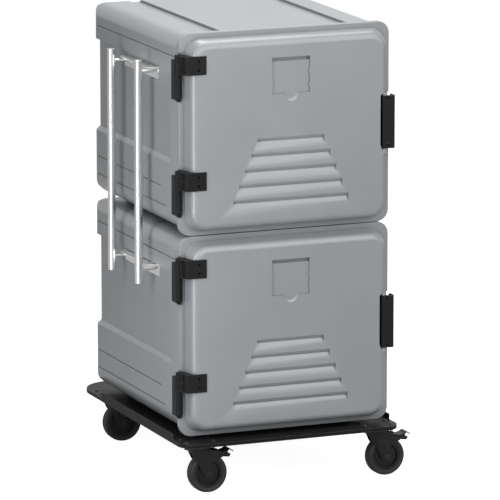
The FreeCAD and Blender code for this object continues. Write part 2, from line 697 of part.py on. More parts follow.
def make_latch_keeper():
    """A flush plate with the groove that the hook's nose closes into."""
    middle = sum(LEVER_Z) / 2
    half = KEEPER_HALF_H - KEEPER_T
    groove = box((BAND_X - KEEPER_GROOVE, BAND_X + 1.0), KEEPER_GROOVE_Y, (middle - half, middle + half))
    return keeper_plate().cut(groove)


# ---------------------------------------------------------------- dolly
def make_deck():
    z = (CASTOR_H, DECK_TOP)
    deck = plan_slab(DECK_X, (-DECK_Y, DECK_Y), z, DECK_FRONT_R, DECK_REAR_R)
    for side in (-1.0, 1.0):
        spans = sorted((side * (DECK_X - LIP_T), side * DECK_X))
        lip = box(spans, LIP_Y, (CASTOR_H, DECK_TOP + LIP_H))
        deck = deck.fuse(lip)
        slot_w = KEY_W / 2 + KEY_PLAY
        slot_l = KEY_LEN / 2 + KEY_PLAY
        for key_y in (-KEY_Y, KEY_Y):
            middle = side * CHANNEL_MID
            deck = deck.cut(box((middle - slot_w, middle + slot_w), (key_y - slot_l, key_y + slot_l),
                                (CASTOR_H - 1.0, DECK_TOP + 1.0)))
    for x, y in castor_bolt_places():
        deck = deck.cut(rod(BOLT_R, (x, y, CASTOR_H - 1.0), (x, y, DECK_TOP + 1.0)))
    return deck.removeSplitter()


def castor_bolt_places():
    places = []
    for x, y in CASTORS.values():
        for dx in (-BOLT_X / 2, BOLT_X / 2):
            for dy in (-BOLT_Y / 2, BOLT_Y / 2):
                places.append((x + dx, y + dy))
    return places


def make_castor_plate(x, y):
    """A top plate with its bearing race and the king pin that the fork turns on."""
    plate = box((x - PLATE_X / 2, x + PLATE_X / 2), (y - PLATE_Y / 2, y + PLATE_Y / 2),
                (CASTOR_H - PLATE_T, CASTOR_H))
    plate = plate.makeFillet(8.0, [e for e in plate.Edges if e.BoundBox.ZLength > PLATE_T - 0.1])
    race = rod(RACE_R, (x, y, HEAD_Z[1] + RACE_GAP), (x, y, CASTOR_H - PLATE_T))
    king = rod(KING_R, (x, y, HEAD_Z[0] - 4.0), (x, y, CASTOR_H - PLATE_T))
    head = rod(10.0, (x, y, HEAD_Z[0] - 4.0), (x, y, HEAD_Z[0] - RACE_GAP))
    plate = plate.fuse(race).fuse(king).fuse(head)
    for dx in (-BOLT_X / 2, BOLT_X / 2):
        for dy in (-BOLT_Y / 2, BOLT_Y / 2):
            hole = rod(BOLT_R, (x + dx, y + dy, CASTOR_H - PLATE_T - 1.0), (x + dx, y + dy, CASTOR_H))
            plate = plate.cut(hole)
    return plate


def make_castor_bolt(x, y):
    """A low-headed bolt through the deck and the plate, with a nut below."""
    nut_z = CASTOR_H - PLATE_T - NUT_H
    shank = rod(BOLT_R, (x, y, nut_z - 1.0), (x, y, DECK_TOP))
    head = Part.makeCone(8.0, 4.5, BOLT_HEAD_H, V(x, y, DECK_TOP))
    hexagon = [(x + 7.5 * math.cos(math.radians(60 * k)), y + 7.5 * math.sin(math.radians(60 * k)),
                nut_z) for k in range(6)]
    nut = face_of(hexagon).extrude(V(0, 0, NUT_H))
    return shank.fuse(head).fuse(nut)


def fork_form(x, y, inset):
    """The fork's smooth outer form: round under the race and narrowing down to the axle."""
    top = HEAD_R - inset
    side = FORK_GAP + FORK_T - inset
    foot = FORK_FOOT - inset
    head = level_loop((x - top, x + top), (y - top, y + top), HEAD_Z[1], [HEAD_CORNER_R - inset] * 4)
    base = level_loop((x + TRAIL - foot, x + TRAIL + foot), (y - side, y + side), FORK_BOTTOM,
                      [5.0 - inset] * 4)
    return Part.makeLoft([base, head], True, True)


def fork_wing(x, y):
    """The plate that runs from one cheek out to the pedal's pin."""
    pin_x, pin_z = x + PEDAL_PIN[0], PEDAL_PIN[1]
    top = HEAD_Z[0] + 2.0
    nose = pin_x + 8.0
    corners = [(x, y, top), (x + TRAIL - 10.0, y, WHEEL_R + 25.0), (pin_x - 12.0, y, pin_z - 12.0),
               (nose, y, pin_z - 8.0), (nose, y, pin_z + 9.0), (x + TRAIL, y, top)]
    wire = rounded_loop(corners, [0.0, 0.0, 6.0, 7.0, 7.0, 6.0])
    return Part.Face(wire).extrude(V(0, FORK_T, 0))


def make_fork(x, y, braked):
    """A hollow, tapering fork: a head under the race and two cheeks that carry the axle."""
    width = FORK_GAP + FORK_T
    axle = (x + TRAIL, WHEEL_R)
    inside = fork_form(x, y, FORK_T)
    reach = HEAD_R + TRAIL + FORK_FOOT
    inside = inside.common(box((x - reach, x + reach), (y - HEAD_R, y + HEAD_R), (0.0, HEAD_Z[0])))
    fork = fork_form(x, y, 0.0).cut(inside)
    fork = fork.cut(rod(WHEEL_R + TYRE_GAP, (axle[0], y - FORK_GAP, axle[1]), (axle[0], y + FORK_GAP, axle[1])))
    fork = fork.cut(box((x - reach, axle[0]), (y - FORK_SLOT, y + FORK_SLOT), (0.0, HEAD_Z[0] - 5.0)))
    fork = fork.cut(box((axle[0], x + reach), (y - FORK_GAP, y + FORK_GAP), (0.0, HEAD_Z[0] - 8.0)))
    if braked:
        for offset in (FORK_GAP, -width):
            wing = fork_wing(x, y)
            wing.translate(V(0, offset, 0))
            fork = fork.fuse(wing)
        pin_x, pin_z = x + PEDAL_PIN[0], PEDAL_PIN[1]
        fork = fork.fuse(rod(PEDAL_PIN_R, (pin_x, y - width + 1.0, pin_z), (pin_x, y + width - 1.0, pin_z)))
    king_bore = rod(KING_R + RUNNING, (x, y, HEAD_Z[0] - 1.0), (x, y, HEAD_Z[1] + 1.0))
    return fork.cut(make_axle(x, y)).cut(king_bore)


def make_axle(x, y):
    width = FORK_GAP + FORK_T
    axle = rod(AXLE_R, (x + TRAIL, y - width, WHEEL_R), (x + TRAIL, y + width, WHEEL_R))
    for side in (-1.0, 1.0):
        start = (x + TRAIL, y + side * width, WHEEL_R)
        cap = Part.makeCone(9.0, 6.5, 4.0, V(*start), V(0, side, 0))
        axle = axle.fuse(cap)
    return axle


def turned(profile, x, y):
    """A wheel part: a half section of (radius, offset along the axle) turned about the axle."""
    axle_x = x + TRAIL
    points = [(axle_x, y + offset, WHEEL_R + radius) for radius, offset in profile]
    return face_of(points).revolve(V(axle_x, y, WHEEL_R), Y_AXIS, 360)


def make_wheel_core(x, y):
    """A moulded core: hub, thin web with a ring groove on each side, and rim."""
    half = WHEEL_W / 2
    bore = AXLE_R + RUNNING
    hub = 14.0
    ring = CORE_RING
    right = [(bore, half + 1.0), (hub, half + 1.0), (hub + 2.0, 12.0), (ring[0], 10.0), (ring[0], 6.0),
             (ring[1], 6.0), (ring[1], half - 4.0), (CORE_R, half - 4.0)]
    left = [(radius, -offset) for radius, offset in reversed(right)]
    return turned(right + left, x, y)


def make_tyre(x, y):
    """A tyre with a slightly rounded tread and shoulders."""
    half = WHEEL_W / 2
    right = [(CORE_R, half - 2.0), (CORE_R + 5.0, half), (WHEEL_R - 5.0, half),
             (WHEEL_R - 1.2, half - 4.0), (WHEEL_R, half - 10.0)]
    left = [(radius, -offset) for radius, offset in reversed(right)]
    return turned(right + left, x, y)


def make_pedal(x, y):
    """A brake pedal: a hub on the fork's pin, a lower block and a thin curved upper flap."""
    pin_x = x + PEDAL_PIN[0]
    tip = x + PEDAL_TIP
    z = PEDAL_PIN[1]
    corners = [(pin_x, y, z - 6.0), (tip - 14.0, y, z - 10.0), (tip - 9.0, y, z - 1.0), (tip - 16.0, y, z + 3.0),
               (pin_x + 24.0, y, z + 5.0), (tip - 14.0, y, z + 14.5), (tip, y, z + 5.0), (tip - 1.0, y, z + 9.5),
               (tip - 13.0, y, z + 17.5), (pin_x + 20.0, y, z + 11.0), (pin_x, y, z + 6.0)]
    wire = rounded_loop(corners, [0.0, 2.0, 2.0, 1.0, 1.5, 3.0, 0.0, 0.0, 4.0, 3.0, 0.0])
    pedal = Part.Face(wire).extrude(V(0, 2 * (FORK_GAP - 2.0), 0))
    pedal.translate(V(0, -FORK_GAP + 2.0, 0))
    hub = rod(6.5, (pin_x, y - FORK_GAP + 1.0, z), (pin_x, y + FORK_GAP - 1.0, z))
    pedal = pedal.fuse(hub)
    return pedal.cut(rod(PEDAL_PIN_R + RUNNING, (pin_x, y - FORK_GAP, z), (pin_x, y + FORK_GAP, z)))


# ---------------------------------------------------------------- push handle
def make_bar(y):
    """An upright tube bar with its two legs, which end on the brackets."""
    bar = rod(BAR_R, (BAR_X, y, BAR_Z[0]), (BAR_X, y, BAR_Z[1]))
    for z in LEG_Z:
        bar = bar.fuse(rod(LEG_R, (BAR_X, y, z), (-RECESS_X - HANDLE_PLATE_T, y, z)))
    return bar


def make_handle_bracket(leg_z):
    """A bent sheet bracket: a flat against the casing and a tapering shelf above the legs."""
    z = (leg_z - HANDLE_PLATE_DOWN, leg_z + HANDLE_PLATE_UP)
    plate = box((-RECESS_X - HANDLE_PLATE_T, -RECESS_X), HANDLE_PLATE_Y, z)
    shelf_z = leg_z + HANDLE_PLATE_UP - HANDLE_PLATE_T
    outer = -RECESS_X - SHELF_OUT
    shelf = face_of([(-RECESS_X, HANDLE_PLATE_Y[0], shelf_z), (-RECESS_X, HANDLE_PLATE_Y[1], shelf_z),
                     (outer, BAR_Y[1] - 6.0, shelf_z), (outer, BAR_Y[0] + 6.0, shelf_z)])
    bracket = plate.fuse(shelf.extrude(V(0, 0, HANDLE_PLATE_T)))
    for bolt_y in BRACKET_BOLT_Y:
        bracket = bracket.cut(make_bracket_bolt(bolt_y, leg_z))
    hole_x = -RECESS_X - SHELF_OUT / 3
    hole = rod(SHELF_HOLE_R, (hole_x, SHELF_HOLE_Y, shelf_z - 1.0), (hole_x, SHELF_HOLE_Y, shelf_z + 5.0))
    return bracket.cut(hole).removeSplitter()


def make_bracket_bolt(y, leg_z):
    z = leg_z - 4.0
    face = -RECESS_X - HANDLE_PLATE_T
    head = Part.makeCone(4.0, 6.0, 4.0, V(face - 4.0, y, z), X_AXIS)
    shank = rod(3.0, (face, y, z), (-RECESS_X + SHELL_T, y, z))
    return head.fuse(shank)


# ---------------------------------------------------------------- the whole cart
def build_container(name, base_z):
    casing = make_casing()
    bolts = [make_bracket_bolt(y, z) for y in BRACKET_BOLT_Y for z in LEG_Z]
    screws = [bracket_screw(z) for hinge in HINGE_BASES for z in bracket_screw_heights(hinge)]
    for screw in screws:
        casing = casing.cut(screw)
    casing = lifted(casing.cut(keeper_plate()), base_z)
    for bolt in bolts:
        if bolt.BoundBox.ZMin > base_z and bolt.BoundBox.ZMax < base_z + PITCH:
            casing = casing.cut(bolt)
    shell = make_door_shell()
    door = door_outer()
    leaf_screws = [leaf_screw(z) for hinge in HINGE_BASES for z in leaf_screw_heights(hinge)]
    leaves = [make_leaf(hinge, door) for hinge in HINGE_BASES]
    for screw in leaf_screws:
        shell = shell.cut(screw)
    save(name + "_casing", casing)
    save(name + "_casing_foam", lifted(make_casing_foam(), base_z))
    save(name + "_casing_liner", lifted(make_liner(), base_z))
    save(name + "_door_shell", lifted(shell, base_z))
    save(name + "_door_foam", lifted(make_door_foam(), base_z))
    save(name + "_door_liner", lifted(make_door_liner(), base_z))
    save(name + "_door_seal", lifted(seal_ring(1.0 - SEAL_GAP), base_z))
    save(name + "_hinge_leaves", *[lifted(leaf, base_z) for leaf in leaves])
    save(name + "_hinge_leaf_screws", *[lifted(screw, base_z) for screw in leaf_screws])
    save(name + "_hinge_brackets", *[lifted(make_bracket(hinge), base_z) for hinge in HINGE_BASES])
    save(name + "_hinge_bracket_screws", *[lifted(screw, base_z) for screw in screws])
    save(name + "_hinge_pins", *[lifted(make_hinge_pin(hinge), base_z) for hinge in HINGE_BASES])
    save(name + "_latch_base", lifted(make_latch_base(), base_z))
    save(name + "_latch_pin", lifted(make_latch_pin(), base_z))
    save(name + "_latch_lever", lifted(make_latch_lever(), base_z))
    save(name + "_latch_keeper", lifted(make_latch_keeper(), base_z))


def build_dolly():
    save("dolly_deck", make_deck())
    save("castor_plates", *[make_castor_plate(x, y) for x, y in CASTORS.values()])
    save("castor_bolts", *[make_castor_bolt(x, y) for x, y in castor_bolt_places()])
    for place, (x, y) in CASTORS.items():
        save("castor_fork_" + place, make_fork(x, y, place in BRAKED))
        save("castor_axle_" + place, make_axle(x, y))
        save("castor_wheel_" + place, make_wheel_core(x, y))
        save("castor_tyre_" + place, make_tyre(x, y))
        if place in BRAKED:
            save("brake_pedal_" + place, make_pedal(x, y))


def build_handle():
    for name, y in zip(("front", "rear"), BAR_Y):
        save("push_bar_" + name, make_bar(y))
    for name, leg_z in zip(("lower", "upper"), LEG_Z):
        save("handle_bracket_" + name, make_handle_bracket(leg_z))
    save("handle_bolts", *[make_bracket_bolt(y, z) for y in BRACKET_BOLT_Y for z in LEG_Z])


os.makedirs("parts", exist_ok=True)
for container, height in CONTAINERS.items():
    build_container(container, height)
build_dolly()
build_handle()
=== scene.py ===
# %% [markdown]
# # An enclosed meal tray cart
#
# Two insulated grey containers stand on a black wheeled deck. Each has a hinged front door with
# five moulded grooves, a card recess and an edge latch. Two stainless bars on the left side push
# the cart. This lesson dresses the measured parts of the cart: it sets up a camera and soft studio
# light, mixes the finishes, smooths the moulded shells, and adds a few mouldings that are finer
# than the measured parts.

# %% The measured parts of the cart
import math

import bmesh
import bpy
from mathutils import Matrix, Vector


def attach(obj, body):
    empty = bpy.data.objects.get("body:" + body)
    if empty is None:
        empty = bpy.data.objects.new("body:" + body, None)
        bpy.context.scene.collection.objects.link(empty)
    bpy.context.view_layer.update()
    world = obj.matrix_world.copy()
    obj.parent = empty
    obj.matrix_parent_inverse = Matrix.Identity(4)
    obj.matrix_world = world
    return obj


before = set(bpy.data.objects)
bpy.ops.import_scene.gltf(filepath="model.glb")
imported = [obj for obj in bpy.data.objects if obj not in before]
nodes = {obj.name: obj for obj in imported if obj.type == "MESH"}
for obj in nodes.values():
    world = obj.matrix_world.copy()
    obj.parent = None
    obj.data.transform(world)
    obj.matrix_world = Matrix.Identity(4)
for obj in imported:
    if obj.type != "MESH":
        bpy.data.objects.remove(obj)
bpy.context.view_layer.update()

MM = 0.001
CONTAINERS = ("lower", "upper")

# %% [markdown]
# ## Camera
#
# The picture of the cart was taken with a long lens, from in front, a little to the left and
# above. A long lens keeps the uprights nearly parallel. The place, the two angles and the focal
# length below came from matching the ends of the doors, grooves, bars and wheels.

# %% Camera at the photographed angle
CAMERA_PLACE = (-6.296, -15.489, 4.060)
CAMERA_TURN_DEG = 22.27
CAMERA_DOWN_DEG = 11.44
CAMERA_LENS = 381.9
SENSOR = 36.0
SIGHT_END = 200.0

camera_data = bpy.data.cameras.new("studio_camera")
camera_data.lens = CAMERA_LENS
camera_data.sensor_width = SENSOR
camera_data.clip_end = SIGHT_END
camera = bpy.data.objects.new("studio_camera", camera_data)
camera.location = CAMERA_PLACE
camera.rotation_euler = (math.radians(90.0 - CAMERA_DOWN_DEG), 0.0, math.radians(-CAMERA_TURN_DEG))
bpy.context.scene.collection.objects.link(camera)
bpy.context.scene.camera = camera
print("camera lens", CAMERA_LENS, "mm")

# %% [markdown]
# ## Lamps
#
# The studio has five lamps. A small key lamp in front on the left throws the bars' soft shadows on
# the side wall. A tall narrow strip, close to the front left corner, gives the upright gleam on the
# left roundings of the doors. A broad lamp in front, a little to the right, gives most of the light
# on the doors. The lamp above makes the tops the palest faces, and one stands high behind the cart.

# %% Lamps
view = bpy.context.scene.view_settings
view.view_transform = "Standard"

CART_MIDDLE = (0.0, 0.0, 0.75)
FRONT_LEFT_CORNER = (-0.34, -0.45, 0.95)
UPPER_CONTAINER = (0.0, 0.0, 1.0)


def around(turn_deg, distance, height):
    """A place round the cart; the turn runs from straight in front towards the left."""
    turn = math.radians(turn_deg)
    return (-distance * math.sin(turn), -distance * math.cos(turn), height)


def soft_lamp(name, place, aim, size, power):
    """A rectangular area lamp that points at a spot on the cart."""
    data = bpy.data.lights.new(name, "AREA")
    data.shape = "RECTANGLE"
    data.size, data.size_y = size
    data.energy = power
    lamp = bpy.data.objects.new(name, data)
    lamp.location = place
    direction = Vector(aim) - Vector(place)
    lamp.rotation_euler = direction.to_track_quat("-Z", "Y").to_euler()
    bpy.context.scene.collection.objects.link(lamp)


# Each lamp's name, place, aim, width and height in metres, and power in watts.
LAMPS = (
    ("lamp_key", around(44.0, 3.0, 2.9), CART_MIDDLE, (1.1, 1.3), 9.0),
    ("lamp_strip", (-1.64, -1.20, 1.05), FRONT_LEFT_CORNER, (0.40, 2.1), 22.0),
    ("lamp_front", around(-12.0, 3.4, 2.8), CART_MIDDLE, (5.0, 3.8), 138.0),
    ("lamp_above", (0.2, 0.4, 4.4), UPPER_CONTAINER, (2.8, 2.8), 78.0),
    ("lamp_behind", (0.8, 3.0, 5.2), CART_MIDDLE, (2.2, 2.2), 60.0),
)

for lamp in LAMPS:
    soft_lamp(*lamp)
print("lamps", [lamp[0] for lamp in LAMPS])

# %% [markdown]
# ## World and floor
#
# The world gives a little plain light of its own, and is white where the camera, a gloss or glass
# looks straight at it. The floor is matt and grey to the lamps, so that it keeps a trace of the
# cart's shadow, and it glows white for the camera. In a gloss it glows less, so that the lower
# faces of the cart stay dark.

# %% World
WHITE = (1.0, 1.0, 1.0, 1.0)
WORLD_TINT = (0.96, 0.98, 1.0, 1.0)
WORLD_STRENGTH = 0.12


def new_nodes(tree):
    """Empty a node tree, and give its nodes and its links."""
    tree.nodes.clear()
    return tree.nodes, tree.links


def span(made, links, source, low, high):
    """Turn a pattern into a run between two numbers."""
    remap = made.new("ShaderNodeMapRange")
    remap.inputs["To Min"].default_value = low
    remap.inputs["To Max"].default_value = high
    links.new(source, remap.inputs["Value"])
    return remap


def greater(made, links, first, second):
    """The greater of two values."""
    pick = made.new("ShaderNodeMath")
    pick.operation = "MAXIMUM"
    links.new(first, pick.inputs[0])
    links.new(second, pick.inputs[1])
    return pick.outputs[0]


def looked_at(made, links, gloss_share):
    """1 where the camera or glass looks straight at a thing, and a share of 1 in a gloss."""
    path = made.new("ShaderNodeLightPath")
    gloss = span(made, links, path.outputs["Is Glossy Ray"], 0.0, gloss_share)
    seen = greater(made, links, path.outputs["Is Camera Ray"], gloss.outputs["Result"])
    return greater(made, links, seen, path.outputs["Is Transmission Ray"])


def sky(made, color, strength):
    """Light of one colour from all round."""
    light = made.new("ShaderNodeBackground")
    light.inputs["Color"].default_value = color
    light.inputs["Strength"].default_value = strength
    return light.outputs["Background"]


def studio_world():
    """Pale light all round; pure white for the camera and in reflections."""
    world = bpy.data.worlds.new("studio_world")
    world.use_nodes = True
    made, links = new_nodes(world.node_tree)
    mix = made.new("ShaderNodeMixShader")
    links.new(looked_at(made, links, gloss_share=1.0), mix.inputs["Fac"])
    links.new(sky(made, WORLD_TINT, WORLD_STRENGTH), mix.inputs[1])
    links.new(sky(made, WHITE, 1.0), mix.inputs[2])
    out = made.new("ShaderNodeOutputWorld")
    links.new(mix.outputs["Shader"], out.inputs["Surface"])
    bpy.context.scene.world = world


studio_world()
print("world light", WORLD_STRENGTH)

# %% Floor
FLOOR_HALF = 40.0
FLOOR_PAINT = (0.42, 0.42, 0.42, 1.0)
FLOOR_GLOW = 0.95
FLOOR_GLOSS_SHARE = 0.28


def floor_paint():
    """Matt paint, with a glow for the camera and in glosses that leaves only a trace of shadow."""
    material = bpy.data.materials.new("studio_floor_paint")
    material.use_nodes = True
    made, links = new_nodes(material.node_tree)
    paint = made.new("ShaderNodeBsdfDiffuse")
    paint.inputs["Color"].default_value = FLOOR_PAINT
    glow = made.new("ShaderNodeEmission")
    glow.inputs["Color"].default_value = WHITE
    strength = span(made, links, looked_at(made, links, FLOOR_GLOSS_SHARE), 0.0, FLOOR_GLOW)
    links.new(strength.outputs["Result"], glow.inputs["Strength"])
    both = made.new("ShaderNodeAddShader")
    links.new(paint.outputs["BSDF"], both.inputs[0])
    links.new(glow.outputs["Emission"], both.inputs[1])
    out = made.new("ShaderNodeOutputMaterial")
    links.new(both.outputs["Shader"], out.inputs["Surface"])
    return material


def studio_floor():
    """A wide floor under the wheels."""
    mesh = bpy.data.meshes.new("studio_floor")
    corners = [(-FLOOR_HALF, -FLOOR_HALF, 0.0), (FLOOR_HALF, -FLOOR_HALF, 0.0),
               (FLOOR_HALF, FLOOR_HALF, 0.0), (-FLOOR_HALF, FLOOR_HALF, 0.0)]
    mesh.from_pydata(corners, [], [(0, 1, 2, 3)])
    floor = bpy.data.objects.new("studio_floor", mesh)
    bpy.context.scene.collection.objects.link(floor)
    mesh.materials.append(floor_paint())


studio_floor()
print("floor", 2 * FLOOR_HALF, "m wide")

# %% [markdown]
# ## Finishes
#
# Real moulded plastic is never one flat colour. Each finish below starts from one shader and adds
# what the eye expects at that scale: slow tone changes from the moulding and a fine grain in the
# bump. It also paints light into the colour: painted shade that darkens the creases, and on the
# black parts a paler colour along sharp edges that is a painted highlight. The patterns use the
# object's own coordinates, so they stay on the cart when it turns.


# %% Helpers for finishes
def finish_base(name, metallic, roughness):
    """A material with a bare shader, and the tools to wire it."""
    material = bpy.data.materials.new(name)
    material.use_nodes = True
    made, links = new_nodes(material.node_tree)
    shader = made.new("ShaderNodeBsdfPrincipled")
    shader.inputs["Metallic"].default_value = metallic
    shader.inputs["Roughness"].default_value = roughness
    out = made.new("ShaderNodeOutputMaterial")
    links.new(shader.outputs["BSDF"], out.inputs["Surface"])
    place = made.new("ShaderNodeTexCoord")
    return material, made, links, shader, place


def noise(made, links, place, scale, detail, stretch=(1.0, 1.0, 1.0)):
    """Noise in the object's own coordinates, stretched along an axis where that is asked."""
    mapping = made.new("ShaderNodeMapping")
    mapping.inputs["Scale"].default_value = stretch
    links.new(place.outputs["Object"], mapping.inputs["Vector"])
    pattern = made.new("ShaderNodeTexNoise")
    pattern.inputs["Scale"].default_value = scale
    pattern.inputs["Detail"].default_value = detail
    links.new(mapping.outputs["Vector"], pattern.inputs["Vector"])
    return pattern.outputs["Fac"]


def ramp(made, links, source, low, high, start=0.3, end=0.7):
    """Turn a pattern into a run between two colours."""
    run = made.new("ShaderNodeValToRGB")
    run.color_ramp.elements[0].position = start
    run.color_ramp.elements[1].position = end
    run.color_ramp.elements[0].color = (*low, 1.0)
    run.color_ramp.elements[1].color = (*high, 1.0)
    links.new(source, run.inputs["Fac"])
    return run.outputs["Color"]


def bumped(made, links, shader, source, strength, distance, below=None):
    """Raise the surface by a pattern; a second call can lie on the first."""
    bump = made.new("ShaderNodeBump")
    bump.inputs["Strength"].default_value = strength
    bump.inputs["Distance"].default_value = distance
    links.new(source, bump.inputs["Height"])
    if below is not None:
        links.new(below.outputs["Normal"], bump.inputs["Normal"])
    links.new(bump.outputs["Normal"], shader.inputs["Normal"])
    return bump


def clouded_gloss(made, links, shader, source, low, high):
    """Let a pattern run the shader's roughness between two values."""
    gloss = span(made, links, source, low, high)
    links.new(gloss.outputs["Result"], shader.inputs["Roughness"])


print("finish helpers ready")

# %% Painted crease shade and painted edge highlights
# Painted shade: an occlusion node darkens the colour in creases, where shade falls. These set how far
# it looks, how dark it paints, its run and its samples.
CREASE_SHADE_REACH = 0.014
CREASE_SHADE_DARKEST = 0.55
CREASE_SHADE_RUN = (0.25, 0.85)
CREASE_SHADE_SAMPLES = 6
# Painted highlight: a paler colour along sharp edges stands in for the light they catch. These set how
# pale it gets, its run and its samples.
HIGHLIGHT_MOST = 0.8
HIGHLIGHT_RUN = (0.12, 0.75)
HIGHLIGHT_SAMPLES = 4


def painted_crease_shade(made, links, color):
    """Painted shade: darken the colour where faces meet in a fold, where shade falls."""
    crease = made.new("ShaderNodeAmbientOcclusion")
    crease.samples = CREASE_SHADE_SAMPLES
    crease.inputs["Distance"].default_value = CREASE_SHADE_REACH
    painted_shade_share = span(made, links, crease.outputs["AO"], CREASE_SHADE_DARKEST, 1.0)
    painted_shade_share.inputs["From Min"].default_value, painted_shade_share.inputs["From Max"].default_value = CREASE_SHADE_RUN
    shade = made.new("ShaderNodeMix")
    shade.data_type = "RGBA"
    shade.blend_type = "MULTIPLY"
    shade.inputs["Factor"].default_value = 1.0
    links.new(color, shade.inputs["A"])
    links.new(painted_shade_share.outputs["Result"], shade.inputs["B"])
    return shade.outputs["Result"]


def painted_edge_highlight(made, links, color, highlight_color, radius):
    """Painted highlight: mix a paler colour in along sharp edges, where a rounded normal turns from
    the flat one.
    """
    rounded = made.new("ShaderNodeBevel")
    rounded.samples = HIGHLIGHT_SAMPLES
    rounded.inputs["Radius"].default_value = radius
    flat = made.new("ShaderNodeNewGeometry")
    turn = made.new("ShaderNodeVectorMath")
    turn.operation = "DISTANCE"
    links.new(rounded.outputs["Normal"], turn.inputs[0])
    links.new(flat.outputs["Normal"], turn.inputs[1])
    amount = span(made, links, turn.outputs["Value"], 0.0, HIGHLIGHT_MOST)
    amount.inputs["From Min"].default_value, amount.inputs["From Max"].default_value = HIGHLIGHT_RUN
    mix = made.new("ShaderNodeMix")
    mix.data_type = "RGBA"
    mix.inputs["B"].default_value = (*highlight_color, 1.0)
    links.new(amount.outputs["Result"], mix.inputs["Factor"])
    links.new(color, mix.inputs["A"])
    return mix.outputs["Result"]


print("creases reach", CREASE_SHADE_REACH, "m")


# %% Moulded plastics
def moulded_plastic(name, low, high, rough_low, rough_high, grain=900.0, grain_depth=0.00006,
                    sheen=0.5, highlight_color=None, highlight_width=0.0009):
    """Satin moulded plastic: slow tone changes, a fine grain, faint rubbed streaks, painted shade in
    creases and, where its colour is given, a painted highlight along sharp edges.
    """
    material, made, links, shader, place = finish_base(name, 0.0, rough_low)
    cloud = noise(made, links, place, scale=4.0, detail=4.0)
    # Painted shade: the colour is darkened in creases.
    color = painted_crease_shade(made, links, ramp(made, links, cloud, low, high))
    # Painted highlight: a paler colour along sharp edges, where one is given.
    if highlight_color is not None:
        color = painted_edge_highlight(made, links, color, highlight_color, highlight_width)
    links.new(color, shader.inputs["Base Color"])
    shader.inputs["Specular IOR Level"].default_value = sheen
    rub = noise(made, links, place, scale=26.0, detail=5.0, stretch=(1.0, 1.0, 0.35))
    clouded_gloss(made, links, shader, rub, rough_low, rough_high)
    wave = noise(made, links, place, scale=9.0, detail=1.0)
    swell = bumped(made, links, shader, wave, strength=0.25, distance=0.0012)
    fine = noise(made, links, place, scale=grain, detail=2.0)
    bumped(made, links, shader, fine, strength=0.5, distance=grain_depth, below=swell)
    return material


casing_grey = moulded_plastic("casing_grey", (0.232, 0.248, 0.260), (0.254, 0.270, 0.284),
                              0.29, 0.35, sheen=0.8)
liner_grey = moulded_plastic("liner_grey", (0.34, 0.36, 0.37), (0.38, 0.40, 0.41), 0.40, 0.52)
# The black finishes get a painted highlight: a paler colour along their sharp edges.
fitting_black = moulded_plastic("fitting_black", (0.006, 0.006, 0.0065), (0.010, 0.010, 0.0105),
                                0.44, 0.56, grain=1400.0, grain_depth=0.00005, sheen=0.14,
                                highlight_color=(0.10, 0.10, 0.105))
deck_black = moulded_plastic("deck_black", (0.006, 0.006, 0.0065), (0.010, 0.010, 0.0105),
                             0.42, 0.56, grain=700.0, grain_depth=0.00012, sheen=0.12,
                             highlight_color=(0.17, 0.17, 0.18), highlight_width=0.0016)
castor_black = moulded_plastic("castor_black", (0.006, 0.006, 0.0065), (0.011, 0.011, 0.0115),
                               0.36, 0.48, sheen=0.22, highlight_color=(0.09, 0.09, 0.095), highlight_width=0.0012)
seal_black = moulded_plastic("seal_black", (0.015, 0.015, 0.015), (0.022, 0.022, 0.022), 0.6, 0.75)
foam_cream = moulded_plastic("foam_cream", (0.60, 0.54, 0.38), (0.70, 0.64, 0.46), 0.85, 0.95,
                             grain=300.0, grain_depth=0.0004)
print("moulded finishes made")


# %% [markdown]
# ## Rubber and metal
#
# The tyres are dark solid rubber with a dusty tread. The stainless bars are ground along their
# length, so the noise is stretched until it reads as fine lines, and the same lines roughen the
# gloss. The pins, axles and bolts are steel with a black coat that is a little cloudy. The screws
# in the wells of the hinge leaves get a darker, duller copy of it, which is painted shade.


# %% Rubber, stainless and black steel
def tyre_rubber():
    """Dark solid rubber, dusty in patches."""
    material, made, links, shader, place = finish_base("tyre_rubber", 0.0, 0.6)
    dust = noise(made, links, place, scale=55.0, detail=6.0)
    tone = ramp(made, links, dust, (0.014, 0.014, 0.015), (0.028, 0.027, 0.027))
    links.new(tone, shader.inputs["Base Color"])
    clouded_gloss(made, links, shader, dust, 0.48, 0.72)
    shader.inputs["Specular IOR Level"].default_value = 0.25
    fine = noise(made, links, place, scale=1100.0, detail=2.0)
    bumped(made, links, shader, fine, strength=0.4, distance=0.00008)
    return material


def ground_stainless(name, stretch):
    """Stainless steel with fine lines along the axis in which the noise is stretched."""
    material, made, links, shader, place = finish_base(name, 1.0, 0.26)
    lines = noise(made, links, place, scale=420.0, detail=4.0, stretch=stretch)
    tone = ramp(made, links, lines, (0.80, 0.80, 0.80), (0.92, 0.92, 0.92), start=0.2, end=0.8)
    links.new(tone, shader.inputs["Base Color"])
    clouded_gloss(made, links, shader, lines, 0.24, 0.33)
    bumped(made, links, shader, lines, strength=0.06, distance=0.00001)
    return material


def black_steel(name, low, high, sheen):
    """Steel under a black coat, a little cloudy; a darker, duller copy is painted shade for screws in
    wells.
    """
    material, made, links, shader, place = finish_base(name, 0.0, 0.35)
    shader.inputs["Specular IOR Level"].default_value = sheen
    cloud = noise(made, links, place, scale=300.0, detail=4.0)
    links.new(ramp(made, links, cloud, low, high), shader.inputs["Base Color"])
    clouded_gloss(made, links, shader, cloud, 0.28, 0.42)
    return material


rubber = tyre_rubber()
stainless_upright = ground_stainless("stainless_upright", (1.0, 1.0, 0.02))
stainless_sheet = ground_stainless("stainless_sheet", (1.0, 0.04, 1.0))
coated = black_steel("coated_steel", (0.008, 0.008, 0.009), (0.014, 0.014, 0.015), 0.3)
